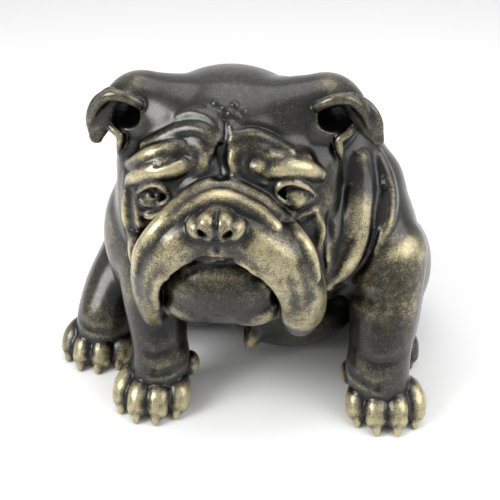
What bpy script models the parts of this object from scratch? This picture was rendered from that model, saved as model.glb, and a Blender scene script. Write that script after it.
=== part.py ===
"""A seated bulldog, cast in one piece and taken here as one closed solid.

It is built the way it would be modelled in clay. Balls and limbs are melted into a trunk and
a head, rolls are laid on that surface for the folds of the face and neck, and the eyes, nose,
ears, toes and claws are added. The last steps melt everything together, cut the soles flat
and thin the mesh out.

The tables are in millimetres. The dog faces -Y, +X is its left and the floor is z = 0.
The head has its own middle, FACE_X, and the x in the tables of the head count from there.
"""

import math

import bmesh
import bpy
from mathutils import Euler, Matrix, Vector
from mathutils.bvhtree import BVHTree

MM = 0.001
FACE_X = -34

# The grain is the size of the cubes that a melt fills the shapes with.
BODY_GRAIN, TRUNK_GRAIN, GRAIN, FINE_GRAIN = 4.0, 3.4, 3.0, 2.0
BODY_SMOOTHING, TRUNK_SMOOTHING, SKULL_SMOOTHING, MUZZLE_SMOOTHING = 26, 8, 16, 10
CHIN_SMOOTHING, BASE_SMOOTHING, FOLD_SMOOTHING, LAST_SMOOTHING = 6, 3, 1, 1
MOST_TRIANGLES = 9600

# The folds are drawn on a board that leans back with the face: across is x and up is h.
# The board stands this far in front of the dog.
BOARD_LEAN = 32
BOARD_REACH = 400
INTO_BOARD = Vector((0, math.cos(math.radians(BOARD_LEAN)), -math.sin(math.radians(BOARD_LEAN))))
UP_BOARD = Vector((0, math.sin(math.radians(BOARD_LEAN)), math.cos(math.radians(BOARD_LEAN))))

# Balls: centre, radii and, where it is turned, the turn in degrees.
BODY = [
    ((8, 5, 160), (104, 70, 78)),
    ((106, 24, 156), (50, 62, 76), (0, -12, 0)),
    ((-108, 22, 150), (42, 60, 70), (0, 12, 0)),
    ((-98, 34, 200), (42, 48, 60)),
    ((-104, 16, 232), (44, 46, 52)),
    ((-115, 10, 152), (50, 46, 80)),
    ((90, 46, 192), (52, 56, 56)),
    ((18, 95, 158), (118, 105, 118), (-20, 0, 0)),
    ((6, 84, 229), (98, 70, 64), (-15, 0, 0)),
    ((24, 138, 150), (112, 90, 96), (-20, 0, 0)),
    ((28, 165, 82), (122, 82, 90)),
    ((22, 54, 68), (84, 66, 67)),
    ((136, 95, 78), (44, 74, 60), (-20, 0, 0)),
    ((-134, 78, 78), (44, 68, 58), (-20, 0, 0)),
    ((-80, 78, 80), (62, 66, 80)),
    ((2, 50, 222), (118, 72, 88)),
]
SKULL = [
    ((0, 24, 262), (84, 78, 66)),
    ((0, -14, 238), (92, 48, 58)),
    ((0, -56, 200), (60, 40, 50)),
    ((0, -36, 148), (60, 48, 36)),
    ((44, 14, 274), (52, 46, 50)),
    ((-44, 14, 274), (52, 46, 50)),
    ((90, 18, 294), (38, 34, 36)),
    ((-84, 18, 290), (38, 34, 36)),
    ((108, 10, 296), (20, 22, 26), (0, 20, 0)),
    ((-102, 10, 290), (20, 22, 26), (0, -20, 0)),
    ((66, 16, 286), (40, 38, 40)),
    ((-62, 16, 284), (40, 38, 40)),
    ((84, 6, 240), (26, 36, 40)),
    ((-84, 4, 236), (26, 36, 40)),
    ((46, -26, 248), (42, 34, 38)),
    ((-46, -26, 248), (42, 34, 38)),
    ((70, 2, 198), (43, 55, 72)),
    ((-70, 2, 198), (43, 55, 72)),
]
CHIN = [
    ((0, -68, 155), (58.5, 43, 43)),
    ((-26, -76, 136), (29, 28, 20)),
    ((27, -76, 135), (31, 28, 20)),
    ((-46, -70, 131), (15, 22, 17)),
    ((47, -70, 133), (15, 22, 17)),
]
MUZZLE = [((0, -78, 216), (52, 32, 30)), ((4, -62, 185), (75, 34, 40)), ((1, -97, 212), (24, 17, 14))]
NOSE = [
    ((0, -104, 237), (18, 18, 14)),
    ((7.5, -113, 242), (9, 11, 9.5)),
    ((-7.5, -113, 242), (9, 11, 9.5)),
    ((17.5, -108, 234), (9, 13, 10.5), (0, 20, -10)),
    ((-17.5, -108, 234), (9, 13, 10.5), (0, -20, 10)),
    ((6, -112, 231), (6, 9, 8)),
    ((-6, -112, 231), (6, 9, 8)),
]
NOSTRILS = [
    ((13, -126, 234), (4, 13, 6.5), (0, 30, 15)),
    ((-13, -126, 234), (4, 13, 6.5), (0, -30, -15)),
]
DEWCLAWS = [((-72, -44, 32), (10, 12, 14)), ((92, -42, 30), (10, 12, 14))]

# Eyes: x and h of the middle on the board, and the turn of the socket in degrees.
EYES = [(65, 177, -6), (-66, 170, 4)]
EYE_RADIUS, EYE_DEPTH = 15, 16
SOCKET_RADII = (18, 9, 9.5)

# Limbs: points along the middle, with the radius at each.
LIMBS = [
    [(-110, -2, 150, 42), (-107, -30, 104, 34), (-102, -48, 66, 29), (-100, -54, 44, 30),
     (-105, -60, 20, 27)],
    [(121, -2, 150, 44), (123, -30, 104, 36), (121, -46, 66, 32), (120, -52, 44, 33),
     (127, -60, 20, 28)],
    [(-140, 66, 92, 44), (-160, 38, 66, 38), (-172, 14, 42, 32), (-179, 12, 20, 26)],
    [(132, 70, 72, 42), (134, 40, 50, 34), (130, 14, 36, 31), (128, 2, 20, 26)],
    [(-150, 112, 26, 26), (-162, 50, 24, 25), (-172, 18, 22, 24)],
    [(146, 122, 26, 26), (136, 60, 24, 24), (129, 12, 22, 24)],
    [(28, 226, 92, 24), (30, 243, 78, 18), (25, 248, 60, 13)],
    [(4, 18, 52, 14), (-8, 0, 42, 12), (-14, -6, 33, 9)],
]
LEFT_FLEW = [(12, -93, 223, 20), (36, -92, 209, 27), (57, -86, 186, 31),
             (70, -79, 156, 29), (75, -74, 130, 25), (75, -70, 114, 18)]
RIGHT_FLEW = [(-12, -93, 223, 20), (-35, -92, 209, 26), (-53, -87, 186, 28),
              (-62, -81, 158, 24), (-65, -76, 132, 19), (-66, -72, 113, 14)]

# The mouth is an arch: half its width, where it springs, its rise, its open foot, how far in
# front of the face its cut starts and where it ends.
MOUTH_HALF, MOUTH_Z, MOUTH_RISE, MOUTH_FOOT = 57, 144, 59, 60
MOUTH_FRONT, MOUTH_BACK = -200, -52
MOUTH_STEPS = 20

# Folds: the share of its radius that each stands proud, then x, h and radius along it. So that
# they still show on this coarse mesh, each is slimmer and higher than in life.
FOLD_SLIMNESS, FOLD_LIFT = 0.82, 4.0
NOSE_ROLL = [
    (0.62, [(-75, 97, 4), (-72, 110, 7), (-66, 122, 9), (-51, 139, 11), (-30, 159, 14),
            (-2, 174, 17), (31, 164, 14), (54, 150, 11.5), (74, 132, 9), (83, 118, 7.5),
            (90, 101, 4)]),
    (0.6, [(-46, 141, 8), (-24, 155, 12), (0, 163.5, 15.5), (28, 157, 12.5), (50, 144, 8)]),
]
RIGHT_BROW = [
    (0.65, [(-91, 183, 6), (-77, 188, 9.5), (-57, 193, 10.5), (-41, 196, 10), (-30, 197, 7)]),
    (0.55, [(-90, 199, 6), (-70, 205, 8.5), (-52, 211, 8.5), (-40, 214, 8), (-30, 211, 7),
            (-25, 203, 6.5), (-28, 194, 6)]),
    (0.5, [(-29, 220, 5), (-21, 216, 7), (-16, 207, 7.5), (-18, 197, 7.5), (-24, 188, 7),
           (-32, 180, 6), (-41, 173, 4)]),
    (0.5, [(-75, 215, 5), (-54, 223, 8), (-38, 229, 9), (-24, 230, 9), (-13, 226, 9),
           (-6, 219, 8.5), (-9, 211, 7)]),
    (0.45, [(-43, 241, 5), (-33, 244, 7), (-21, 243, 7.5), (-10, 238, 7), (-4, 230, 6), (-1, 221, 4)]),
]
LEFT_BROW = [
    (0.5, [(6, 233, 6), (7, 229, 6)]),
    (0.5, [(5, 214, 6.5), (8, 221, 9), (17, 226, 9), (29, 226, 8), (44, 221, 7), (61, 213, 5)]),
    (0.5, [(44, 212, 5), (27, 217, 7.5), (15, 215, 8), (8, 207, 8), (9, 198, 7.5), (13, 189, 7),
           (23, 182, 6), (34, 177, 5), (43, 173, 4)]),
    (0.5, [(75, 208, 6), (50, 207, 7.5), (38, 209, 7), (27, 212, 6), (20, 208, 6), (18, 202, 6), (21, 194, 6),
           (28, 189, 6), (38, 186, 5)]),
    (0.6, [(32, 199, 9), (36, 198, 9)]),
    (0.65, [(41, 194, 7), (52, 197, 9.5), (63, 199, 10.5), (75, 199, 10), (87, 196, 7)]),
]
LEFT_NECK = [
    (0.4, [(84, 163, 5), (90, 147, 8), (93, 129, 8), (96, 113, 7), (99, 98, 5)]),
    (0.4, [(122, 214, 14), (124, 190, 20), (124, 165, 22), (120, 140, 21), (112, 118, 17),
           (100, 97, 10)]),
    (0.3, [(142, 220, 8), (149, 200, 11), (152, 178, 12), (150, 152, 11), (143, 128, 7)]),
]
RIGHT_NECK = [
    (0.35, [(-84, 193, 4), (-81, 168, 6), (-79, 146, 7), (-78, 126, 6), (-76, 107, 4)]),
    (0.35, [(-92, 190, 6), (-93, 168, 8), (-92, 150, 8.5), (-87, 134, 8), (-80, 117, 6),
            (-76, 104, 4)]),
]
LIDS = [
    (1.3, [(-84, 169, 1.5), (-77, 175, 3), (-68, 179, 3.5), (-58, 179, 3.5), (-49, 171, 2)]),
    (1.3, [(-82, 167, 1.5), (-74, 162, 2.8), (-63, 161, 3), (-53, 164, 2.6), (-48, 169, 1.5)]),
    (0.8, [(-83, 158, 2), (-70, 151, 5), (-54, 154, 3)]),
    (1.3, [(48, 176, 1.5), (53, 183, 3), (62, 186.5, 3.5), (73, 184.5, 3.5), (85, 177, 1.5)]),
    (1.3, [(49, 175, 1.5), (54, 170, 2.8), (64, 167.5, 3), (75, 169, 2.8), (84, 175, 1.5)]),
    (0.8, [(54, 160, 2), (66, 157, 5), (83, 163, 3)]),
]

# The dome of each ear is in SKULL. This is the rest of one ear, the dog's left: the hood's rim,
# a flat flap and the fold under the hole. EARS gives for each ear its side, how far it is moved
# across and up, and how far its flap swings about EAR_TOP, in degrees.
EAR_TOP = Vector((112, 0, 312))
EAR_RIM = [(74, -8, 298, 4), (82, -15, 309, 5), (95, -18, 316, 5.5), (108, -16, 315, 5.5), (119, -12, 304, 5),
           (127, -10, 288, 4)]
EAR_FLAP = [(108, 0, 309, 10), (116, -6, 299, 13), (121, -7, 284, 13), (125, -5, 268, 7)]
EAR_FLATNESS = 0.45
EAR_FOLD = [
    (114, -2, 288, 3), (108, -10, 280, 4), (100, -14, 274, 4), (101, -14, 264, 3.5), (103, -11, 254, 2),
]
EARS = [(1, 4, 4, -14), (-1, -1, 0, 0)]
EAR_HOLE = ((98, -22, 296), (19, 30, 17))

# Paws: middle x and y, turn in degrees and size. Toes: x, and how far each is set back. A toe
# and its claw: share of the toe's x, y behind the toe's front, height and radius at each point.
PAWS = [(-107, -68, -4, 1.0), (129, -64, 3, 1.0), (-178, 8, -10, 1.0), (130, 28, 4, 0.92)]
TOES = [(-27, 12), (-9.5, 0), (9.5, 0), (27, 12)]
TOE = [(0.62, 8, 20, 11), (0.86, -5, 24, 13), (1.0, -17, 20, 13.5), (1.03, -25, 12, 12.5)]
CLAW = [(1.04, -29, 14, 5.5), (1.05, -35, 8, 5), (1.06, -38, 3.5, 3.5)]


def unit_ball():
    clay = bmesh.new()
    bmesh.ops.create_uvsphere(clay, u_segments=24, v_segments=16, radius=1)
    mesh = bpy.data.meshes.new("ball")
    clay.to_mesh(mesh)
    clay.free()
    return mesh


def add_ball(clay, centre, radii, turn=(0, 0, 0), shift=0):
    """A copy of the unit ball, which is stretched into place and then put back."""
    place = Vector(centre) + Vector((shift, 0, 0))
    spin = Euler([math.radians(angle) for angle in turn])
    matrix = Matrix.LocRotScale(place * MM, spin, Vector(radii) * MM)
    BALL.transform(matrix)
    clay.from_mesh(BALL)
    BALL.transform(matrix.inverted())


def add_limb(clay, points, shift=0):
    """A round-ended tube through the points, each (x, y, z, radius)."""
    path = bpy.data.curves.new("limb", "CURVE")
    path.dimensions = "3D"
    path.bevel_depth = MM
    path.bevel_resolution = 3
    path.use_fill_caps = True
    line = path.splines.new("BEZIER")
    line.resolution_u = 6
    line.radius_interpolation = "CARDINAL"
    line.bezier_points.add(len(points) - 1)
    for knot, (x, y, z, radius) in zip(line.bezier_points, points):
        knot.co = ((x + shift) * MM, y * MM, z * MM)
        knot.radius = radius
        knot.handle_left_type = knot.handle_right_type = "AUTO"
    tube = bpy.data.objects.new("limb", path)
    clay.from_mesh(tube.to_mesh())
    tube.to_mesh_clear()
    bpy.data.objects.remove(tube)
    for x, y, z, radius in (points[0], points[-1]):
        add_ball(clay, (x, y, z), (radius,) * 3, shift=shift)


def melt(clay, grain, passes):
    """One smooth skin round all the shapes in the clay."""
    mesh = bpy.data.meshes.new("lump")
    clay.to_mesh(mesh)
    clay.free()
    lump = bpy.data.objects.new("lump", mesh)
    bench.objects.link(lump)
    skin = lump.modifiers.new("Skin", "REMESH")
    skin.mode = "VOXEL"
    skin.voxel_size = grain * MM
    smooth = lump.modifiers.new("Smooth", "SMOOTH")
    smooth.iterations = round(passes)
    return finished(lump)


def finished(lump):
    """The mesh that the modifiers make of an object, which is then removed."""
    graph = bpy.context.evaluated_depsgraph_get()
    mesh = bpy.data.meshes.new_from_object(lump.evaluated_get(graph))
    bpy.data.objects.remove(lump)
    return mesh


def cut(mesh, cutters):
    """The mesh less everything in the cutters."""
    tool_mesh = bpy.data.meshes.new("cutter")
    cutters.to_mesh(tool_mesh)
    cutters.free()
    tool = bpy.data.objects.new("cutter", tool_mesh)
    lump = bpy.data.objects.new("lump", mesh)
    for item in (tool, lump):
        bench.objects.link(item)
    carve = lump.modifiers.new("Carve", "BOOLEAN")
    carve.operation = "DIFFERENCE"
    carve.solver = "EXACT"
    carve.object = tool
    carved = finished(lump)
    bpy.data.objects.remove(tool)
    return carved


def head_form(balls, limbs, grain, passes):
    """Balls and limbs that are placed from the middle of the head."""
    clay = bmesh.new()
    for row in balls:
        add_ball(clay, *row, shift=FACE_X)
    for points in limbs:
        add_limb(clay, points, FACE_X)
    return melt(clay, grain, passes)


def mouth_cutter():
    """An arch, open below, that takes the flews away from in front of the chin."""
    clay = bmesh.new()
    turns = [math.pi * step / MOUTH_STEPS for step in range(MOUTH_STEPS + 1)]
    arch = [(MOUTH_HALF * math.cos(a), MOUTH_Z + MOUTH_RISE * math.sin(a)) for a in turns]
    arch += [(-MOUTH_HALF, MOUTH_FOOT), (MOUTH_HALF, MOUTH_FOOT)]
    front = [clay.verts.new(((x + FACE_X) * MM, MOUTH_FRONT * MM, z * MM)) for x, z in arch]
    face = clay.faces.new(front)
    pushed = bmesh.ops.extrude_face_region(clay, geom=[face])
    moved = [item for item in pushed["geom"] if isinstance(item, bmesh.types.BMVert)]
    bmesh.ops.translate(clay, verts=moved, vec=(0, (MOUTH_BACK - MOUTH_FRONT) * MM, 0))
    bmesh.ops.recalc_face_normals(clay, faces=clay.faces)
    return clay


def add_ear(clay, side, across, up, swing):
    """The rim, flap and fold of one ear, mirrored where its side is -1."""
    first = len(clay.verts)
    add_limb(clay, EAR_FLAP)
    clay.verts.ensure_lookup_table()
    middle = EAR_FLAP[len(EAR_FLAP) // 2][1] * MM
    top = EAR_TOP * MM
    turn = Matrix.Rotation(math.radians(swing), 3, "Y")
    for vert in clay.verts[first:]:
        vert.co.y = middle + (vert.co.y - middle) * EAR_FLATNESS
        vert.co = turn @ (vert.co - top) + top
    add_limb(clay, EAR_RIM)
    add_limb(clay, EAR_FOLD)
    clay.verts.ensure_lookup_table()
    clay.verts.index_update()
    for vert in clay.verts[first:]:
        vert.co = (vert.co.x * side + (FACE_X + across) * MM, vert.co.y, vert.co.z + up * MM)
    if side < 0:
        added = [face for face in clay.faces if face.verts[0].index >= first]
        bmesh.ops.reverse_faces(clay, faces=added)


def add_paw(clay, x, y, turn, size):
    spin = Matrix.Rotation(math.radians(turn), 3, "Z")
    for across, back in TOES:
        for knots in (TOE, CLAW):
            placed = []
            for share, behind, up, radius in knots:
                spot = spin @ Vector((share * across, behind + back, up)) * size
                placed.append((spot.x + x, spot.y + y, spot.z, radius * size))
            add_limb(clay, placed)


def on_surface(tree, x, h, sink=0):
    """Where the line into the board at (x, h) meets the surface, moved in by sink."""
    start = Vector((x + FACE_X, 0, 0)) + UP_BOARD * h - INTO_BOARD * BOARD_REACH
    hit = tree.ray_cast(start * MM, INTO_BOARD)[0]
    if hit is None:
        hit = tree.find_nearest((start + INTO_BOARD * BOARD_REACH) * MM)[0]
    return hit / MM + INTO_BOARD * sink


def add_fold(clay, tree, proud, line, slimness=1, lift=0):
    """A roll that stands out of the surface by the proud share of its radius, and by lift."""
    points = []
    for x, h, radius in line:
        spot = on_surface(tree, x, h, (1 - proud) * radius - lift)
        points.append((*spot, radius * slimness))
    add_limb(clay, points)


for old in list(bpy.data.objects):
    bpy.data.objects.remove(old)
BALL = unit_ball()

# The shapes are worked on a bench, a collection that no render shows.
bench = bpy.data.collections.new("bench")
bench.hide_render = True
bpy.context.scene.collection.children.link(bench)

# Trunk: the body first, smoothed hard, then the legs.
clay = bmesh.new()
for row in BODY:
    add_ball(clay, *row)
body = melt(clay, BODY_GRAIN, BODY_SMOOTHING)
clay = bmesh.new()
clay.from_mesh(body)
for points in LIMBS:
    add_limb(clay, points)
trunk = melt(clay, TRUNK_GRAIN, TRUNK_SMOOTHING)

# Head: the skull, and the muzzle with the mouth cut out of it.
skull = head_form(SKULL, [], GRAIN, SKULL_SMOOTHING)
muzzle = head_form(MUZZLE, [LEFT_FLEW, RIGHT_FLEW], FINE_GRAIN, MUZZLE_SMOOTHING)
muzzle = cut(muzzle, mouth_cutter())
clay = bmesh.new()
for form in (trunk, skull, muzzle):
    clay.from_mesh(form)
base = melt(clay, GRAIN, BASE_SMOOTHING)

# Folds are laid on the base, and the eye sockets and the hollows of the ears cut.
clay = bmesh.new()
clay.from_mesh(base)
tree = BVHTree.FromBMesh(clay)
for proud, line in NOSE_ROLL + RIGHT_BROW + LEFT_BROW + LEFT_NECK + RIGHT_NECK:
    add_fold(clay, tree, proud, line, FOLD_SLIMNESS, FOLD_LIFT)
hollows = bmesh.new()
for x, h, turn in EYES:
    add_ball(hollows, on_surface(tree, x, h), SOCKET_RADII, (-BOARD_LEAN, turn, 0))
for side, across, up, swing in EARS:
    (x, y, z), radii = EAR_HOLE
    add_ball(hollows, (x * side + across, y, z + up), radii, shift=FACE_X)
face = cut(melt(clay, FINE_GRAIN, FOLD_SMOOTHING), hollows)

# Then the small forms are added, and the nostrils are cut.
clay = bmesh.new()
clay.from_mesh(face)
clay.from_mesh(head_form(CHIN, [], FINE_GRAIN, CHIN_SMOOTHING))
for x, h, turn in EYES:
    add_ball(clay, on_surface(tree, x, h, EYE_DEPTH), (EYE_RADIUS,) * 3)
for proud, line in LIDS:
    add_fold(clay, tree, proud, line)
for row in NOSE:
    add_ball(clay, *row, shift=FACE_X)
for row in DEWCLAWS:
    add_ball(clay, *row)
for row in EARS:
    add_ear(clay, *row)
for row in PAWS:
    add_paw(clay, *row)
nostrils = bmesh.new()
for row in NOSTRILS:
    add_ball(nostrils, *row, shift=FACE_X)
dog = cut(melt(clay, FINE_GRAIN, LAST_SMOOTHING), nostrils)

lump = bpy.data.objects.new("lump", dog)
bench.objects.link(lump)
thin = lump.modifiers.new("Thin", "DECIMATE")
thin.ratio = MOST_TRIANGLES / (2 * len(dog.polygons))
dog = finished(lump)

# Everything under the floor is cut away, which flattens the soles.
floor = bmesh.new()
bmesh.ops.create_cube(floor, size=1, matrix=Matrix.Translation((0, 0, -0.5)))
dog = cut(dog, floor)

low = [min(vert.co[axis] for vert in dog.vertices) for axis in range(3)]
high = [max(vert.co[axis] for vert in dog.vertices) for axis in range(3)]
dog.transform(Matrix.Translation((-(low[0] + high[0]) / 2, -(low[1] + high[1]) / 2, -low[2])))

bronze = bpy.data.materials.new("antique_bronze")
bronze.use_nodes = True
shade = bronze.node_tree.nodes["Principled BSDF"]
shade.inputs["Base Color"].default_value = (0.12, 0.095, 0.055, 1)
shade.inputs["Metallic"].default_value = 0.6
shade.inputs["Roughness"].default_value = 0.4
dog.materials.append(bronze)

bulldog = bpy.data.objects.new("bulldog", dog)
statue = bpy.data.collections.new("bulldog_statue")
bpy.context.scene.collection.children.link(statue)
statue.objects.link(bulldog)
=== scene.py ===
# %% [markdown]
# A seated bulldog, about two thirds of life, cast in one piece and finished as antique bronze.
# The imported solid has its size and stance, but with under ten thousand triangles it can only
# hint at the carving. So the same clay is worked here again, in a grain a quarter finer and
# with about twenty times as many triangles: folds, lids, nostrils, toes, creases, and last a
# patina rubbed through to gold.

# %% Load the frame
import math

import bpy
import numpy as np
from mathutils import Euler, Matrix, Vector
from mathutils.bvhtree import BVHTree


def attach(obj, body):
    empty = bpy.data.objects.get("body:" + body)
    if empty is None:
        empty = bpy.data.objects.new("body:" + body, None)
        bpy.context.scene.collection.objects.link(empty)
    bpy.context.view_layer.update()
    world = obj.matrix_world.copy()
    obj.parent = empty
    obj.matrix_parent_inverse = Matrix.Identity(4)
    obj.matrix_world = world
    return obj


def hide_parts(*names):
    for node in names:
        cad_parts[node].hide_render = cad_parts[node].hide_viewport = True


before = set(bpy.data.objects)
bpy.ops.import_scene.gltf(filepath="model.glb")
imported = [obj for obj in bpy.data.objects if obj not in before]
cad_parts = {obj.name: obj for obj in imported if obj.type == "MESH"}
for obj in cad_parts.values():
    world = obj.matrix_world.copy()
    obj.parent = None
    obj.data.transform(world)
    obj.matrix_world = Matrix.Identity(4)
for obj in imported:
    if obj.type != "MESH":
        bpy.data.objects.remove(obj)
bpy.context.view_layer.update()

# %% [markdown]
# The clay dog is worked in millimetres, facing -Y, with its own floor at z = 0. Its head has
# its own middle, a little to the dog's right. MIDDLE is where the middle of the finished
# dog's box falls in that clay, so taking it away puts the dog where the solid stands.

# %% Driving sizes
MM = 0.001
MIDDLE = np.array([-20.8, 67.6, 0.0])
FACE_X = -34.0
COARSE_GRAIN, FINE_GRAIN = 3.0, 1.5
MOST_TRIANGLES = 194000
print("the skin is worked in a grain of", FINE_GRAIN, "mm, to at most", MOST_TRIANGLES, "triangles")

# %% [markdown]
# A dog has no straight edge to start from, so box modelling would be slow. It is built as in
# clay instead, from closed grids of points. A ball is the usual function of two angles,
# stretched and turned. A limb is a ring carried along a smooth curve through a few points,
# each with its own radius, and closed by half balls.

# %% Closed grids
POLE_GAP = 0.02


def closed_faces(rings, sides):
    """Quads between neighbouring rings, and one face over each end, all facing outwards."""
    row = np.arange(rings - 1)[:, None] * sides
    here = np.arange(sides)[None, :]
    following = (here + 1) % sides
    quads = np.stack([row + sides + here, row + sides + following, row + following, row + here], -1)
    last = (rings - 1) * sides
    ends = [list(range(sides)), list(range(last + sides - 1, last - 1, -1))]
    return quads.reshape(-1, 4).tolist() + ends


def turned(degrees):
    """The turn about X, then Y, then Z, as a 3 by 3 array."""
    return np.array(Euler([math.radians(angle) for angle in degrees]).to_matrix())


def ball(centre, radii, turn=(0, 0, 0), rings=20, sides=32):
    """sin(t) cos(p), sin(t) sin(p), cos(t) over the two angles t and p, times the radii."""
    t = np.linspace(POLE_GAP, math.pi - POLE_GAP, rings)[:, None]
    p = np.linspace(0, 2 * math.pi, sides, endpoint=False)[None, :]
    unit = np.stack([np.sin(t) * np.cos(p), np.sin(t) * np.sin(p), np.cos(t) + 0 * p], -1)
    points = (unit.reshape(-1, 3) * radii) @ turned(turn).T + centre
    return points, closed_faces(rings, sides)


print("a ball has", len(ball((0, 0, 0), (1, 1, 1))[1]), "faces")

# %% Limbs
CAP_RINGS = 6
THINNEST, TIP = 0.3, 0.01


def smooth_path(knots, steps=6):
    """A Catmull-Rom curve through the rows of knots, however many columns they have."""
    knots = np.asarray(knots, float)
    knots = np.vstack([2 * knots[0] - knots[1], knots, 2 * knots[-1] - knots[-2]])
    t = np.linspace(0, 1, steps, endpoint=False)[:, None]
    pieces = []
    for a, b, c, d in zip(knots, knots[1:], knots[2:], knots[3:]):
        square = (2 * a - 5 * b + 4 * c - d) * t**2
        cube = (3 * b - a - 3 * c + d) * t**3
        pieces.append(0.5 * (2 * b + (c - a) * t + square + cube))
    return np.vstack([*pieces, knots[-2:-1]])


def square_to(middle):
    """Two directions square to the path at each of its points, carried along without a twist."""
    along = np.gradient(middle, axis=0)
    along /= np.linalg.norm(along, axis=1, keepdims=True)
    up = np.array([0, 0, 1.0]) if abs(along[0, 2]) < 0.9 else np.array([0, 1.0, 0])
    across = np.cross(along, up)
    across[0] /= np.linalg.norm(across[0])
    for k in range(1, len(across)):
        across[k] = across[k - 1] - along[k] * (across[k - 1] @ along[k])
        across[k] /= np.linalg.norm(across[k])
    return across, np.cross(along, across)


def limb(knots, sides=16, steps=6):
    """middle + radius (cos(a) across + sin(a) third) round the path, with a half ball at each end."""
    path = smooth_path(knots, steps)
    middle, radius = path[:, :3], np.maximum(path[:, 3], THINNEST)
    start, end = middle[0] - middle[1], middle[-1] - middle[-2]
    start /= np.linalg.norm(start)
    end /= np.linalg.norm(end)
    bend = np.linspace(0, math.pi / 2, CAP_RINGS)[1:]
    first_cap = middle[0] + radius[0] * np.sin(bend)[::-1, None] * start
    last_cap = middle[-1] + radius[-1] * np.sin(bend)[:, None] * end
    middle = np.vstack([first_cap, middle, last_cap])
    radius = np.concatenate([radius[0] * np.cos(bend)[::-1], radius, radius[-1] * np.cos(bend)])
    across, third = square_to(middle)
    a = np.linspace(0, 2 * math.pi, sides, endpoint=False)[None, :, None]
    ring = np.cos(a) * across[:, None] + np.sin(a) * third[:, None]
    points = middle[:, None] + np.maximum(radius, TIP)[:, None, None] * ring
    return points.reshape(-1, 3), closed_faces(len(middle), sides)


def moved(form, shift):
    """The form with the shift added to each of its points."""
    return form[0] + np.asarray(shift, float), form[1]


def mirrored(form):
    """The same form on the other side of x = 0, with its faces turned back outwards."""
    points, faces = form
    return points * [-1, 1, 1], [list(face)[::-1] for face in faces]


def on_face(form):
    """The form moved from the head's own middle to where the head is."""
    return moved(form, (FACE_X, 0, 0))


print("a limb through three knots has", len(limb([(0, 0, 0, 1), (0, 0, 1, 1), (0, 0, 2, 1)])[1]), "faces")

# %% [markdown]
# Melting is what a thumb does to pellets of clay. A Boolean union would leave a hard seam at
# each joint. Blender's voxel remesh fills the joined forms with small cubes instead and draws
# one skin round them, and Smooth then blurs the joints. A smaller cube keeps finer forms.

# %% Objects and their arrays
def in_scene(name, data):
    """A new object that holds the data, linked to the scene."""
    thing = bpy.data.objects.new(name, data)
    bpy.context.scene.collection.objects.link(thing)
    return thing


def mesh_of(name, form):
    """A Blender mesh of the form's points and faces."""
    points, faces = form
    mesh = bpy.data.meshes.new(name)
    mesh.from_pydata(np.asarray(points).tolist(), [], [list(map(int, face)) for face in faces])
    return mesh


def arrays(thing):
    """The points and faces of an object as its modifiers leave it."""
    graph = bpy.context.evaluated_depsgraph_get()
    mesh = thing.evaluated_get(graph).to_mesh()
    points = np.empty(len(mesh.vertices) * 3, np.float32)
    corners = np.empty(len(mesh.loops), np.int32)
    counts = np.empty(len(mesh.polygons), np.int32)
    mesh.vertices.foreach_get("co", points)
    mesh.loops.foreach_get("vertex_index", corners)
    mesh.polygons.foreach_get("loop_total", counts)
    points = points.reshape(-1, 3).astype(float)
    if (counts == 4).all() or (counts == 3).all():
        return points, corners.reshape(-1, counts[0])
    return points, np.split(corners, np.cumsum(counts)[:-1])


# %% Melting and cutting
def joined(forms):
    """All the forms in one, their faces counted on from one form to the next."""
    points, faces, first = [], [], 0
    for form_points, form_faces in forms:
        points.append(form_points)
        faces.extend((np.asarray(face) + first).tolist() for face in form_faces)
        first += len(form_points)
    return np.vstack(points), faces


def worked(form, modifiers):
    """The form after a list of (modifier type, settings)."""
    thing = in_scene("clay", mesh_of("clay", form))
    for kind, settings in modifiers:
        modifier = thing.modifiers.new(kind, kind)
        for key, value in settings.items():
            setattr(modifier, key, value)
    result = arrays(thing)
    mesh = thing.data
    bpy.data.objects.remove(thing)
    bpy.data.meshes.remove(mesh)
    return result


def melt(forms, grain, passes):
    """One skin round all the forms, made of cubes of the grain's width, smoothed passes times."""
    cubes = ("REMESH", {"mode": "VOXEL", "voxel_size": grain})
    return worked(joined(forms), [cubes, ("SMOOTH", {"iterations": passes})])


def cut(form, cutters):
    """The form less all of the cutters."""
    tool = bpy.data.objects.new("cutter", mesh_of("cutter", joined(cutters)))
    result = worked(form, [("BOOLEAN", {"operation": "DIFFERENCE", "object": tool})])
    bpy.data.objects.remove(tool)
    return result


# %% [markdown]
# The trunk of the real casting is one swelling mass with no joint to be seen. Sixteen balls
# for chest, shoulders, neck, ribs, rump, thighs and belly are melted and smoothed hard. The
# legs join after that, in a finer grain and with less smoothing, so that they keep their
# form. The last two limbs are the short tail and the knob under the belly.

# %% Trunk
BODY_GRAIN, BODY_PASSES = 4.0, 26
TRUNK_GRAIN, TRUNK_PASSES = 3.4, 8
BODY = [
    ((8, 5, 160), (104, 70, 78), (0, 0, 0)),
    ((106, 24, 156), (50, 62, 76), (0, -12, 0)),
    ((-108, 22, 150), (42, 60, 70), (0, 12, 0)),
    ((-98, 34, 200), (42, 48, 60), (0, 0, 0)),
    ((-104, 16, 232), (44, 46, 52), (0, 0, 0)),
    ((-115, 10, 152), (50, 46, 80), (0, 0, 0)),
    ((90, 46, 192), (52, 56, 56), (0, 0, 0)),
    ((18, 95, 158), (118, 105, 118), (-20, 0, 0)),
    ((6, 84, 229), (98, 70, 64), (-15, 0, 0)),
    ((24, 138, 150), (112, 90, 96), (-20, 0, 0)),
    ((28, 165, 82), (122, 82, 90), (0, 0, 0)),
    ((22, 54, 68), (84, 66, 67), (0, 0, 0)),
    ((136, 95, 78), (44, 74, 60), (-20, 0, 0)),
    ((-134, 78, 78), (44, 68, 58), (-20, 0, 0)),
    ((-80, 78, 80), (62, 66, 80), (0, 0, 0)),
    ((2, 50, 222), (118, 72, 88), (0, 0, 0)),
]
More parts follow.
